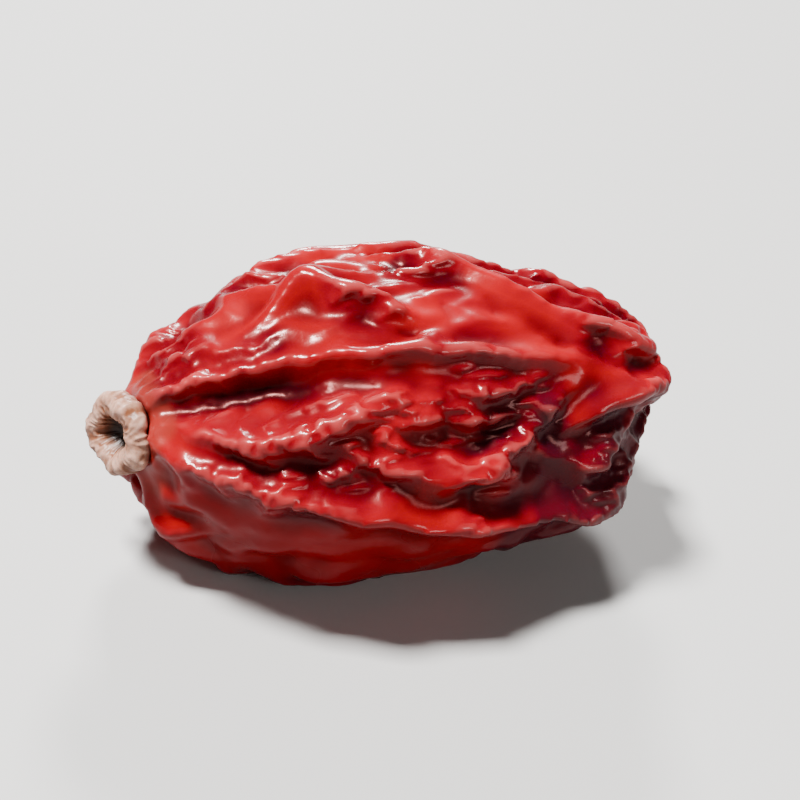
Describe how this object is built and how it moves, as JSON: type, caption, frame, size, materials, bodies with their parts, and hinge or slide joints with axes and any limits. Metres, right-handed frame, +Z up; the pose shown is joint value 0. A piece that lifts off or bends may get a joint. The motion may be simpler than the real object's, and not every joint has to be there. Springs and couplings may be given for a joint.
{
  "type": "dried barberry",
  "caption": "Dried barberry lying on its side: a small oblong red fruit in sharp lengthwise folds, with a woody stigma ring at its tip and a snapped stalk stub at its base.",
  "frame": {"origin": "under the middle of the whole berry, on the surface that it lies on", "axes": "+X along the berry from the stigma to the stalk, +Z up, -Y the berry's front"},
  "size_m": [0.0098, 0.0059, 0.0049],
  "materials": {
    "skin": "glossy, wrinkled, slightly translucent dried fruit skin",
    "stigma": "dull woody tissue",
    "stalk": "dull dry fibre"
  },
  "bodies": {
    "root": {"fruit": "skin", "stigma": "stigma", "stalk_stub": "stalk"}
  },
  "joints": []
}
